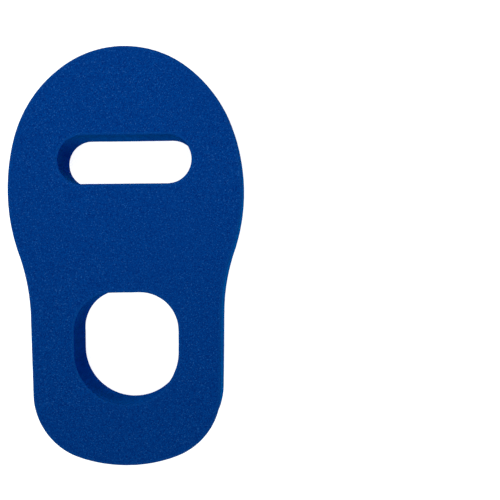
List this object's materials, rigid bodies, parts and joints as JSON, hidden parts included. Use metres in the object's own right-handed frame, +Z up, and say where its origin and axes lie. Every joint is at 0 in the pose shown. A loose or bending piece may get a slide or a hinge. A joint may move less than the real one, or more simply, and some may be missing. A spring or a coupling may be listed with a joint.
{
  "type": "foam aqua boxing glove",
  "caption": "Flat foam glove for boxing exercises in water: a waisted slab with a wide rounded end, a long finger slot and a large round-ended hand hole.",
  "frame": {"origin": "under the middle of the slab, on the flat back face that it lies on", "axes": "+Z up out of the front face, +Y along the slab towards the wide end in front of the fist, +X across it to the right"},
  "size_m": [0.1568, 0.28, 0.038],
  "materials": {
    "foam": "matte closed-cell foam, royal blue, with a finely pebbled skin on both faces and plain cut walls"
  },
  "bodies": {
    "root": {"foam_glove": "foam"}
  },
  "joints": []
}
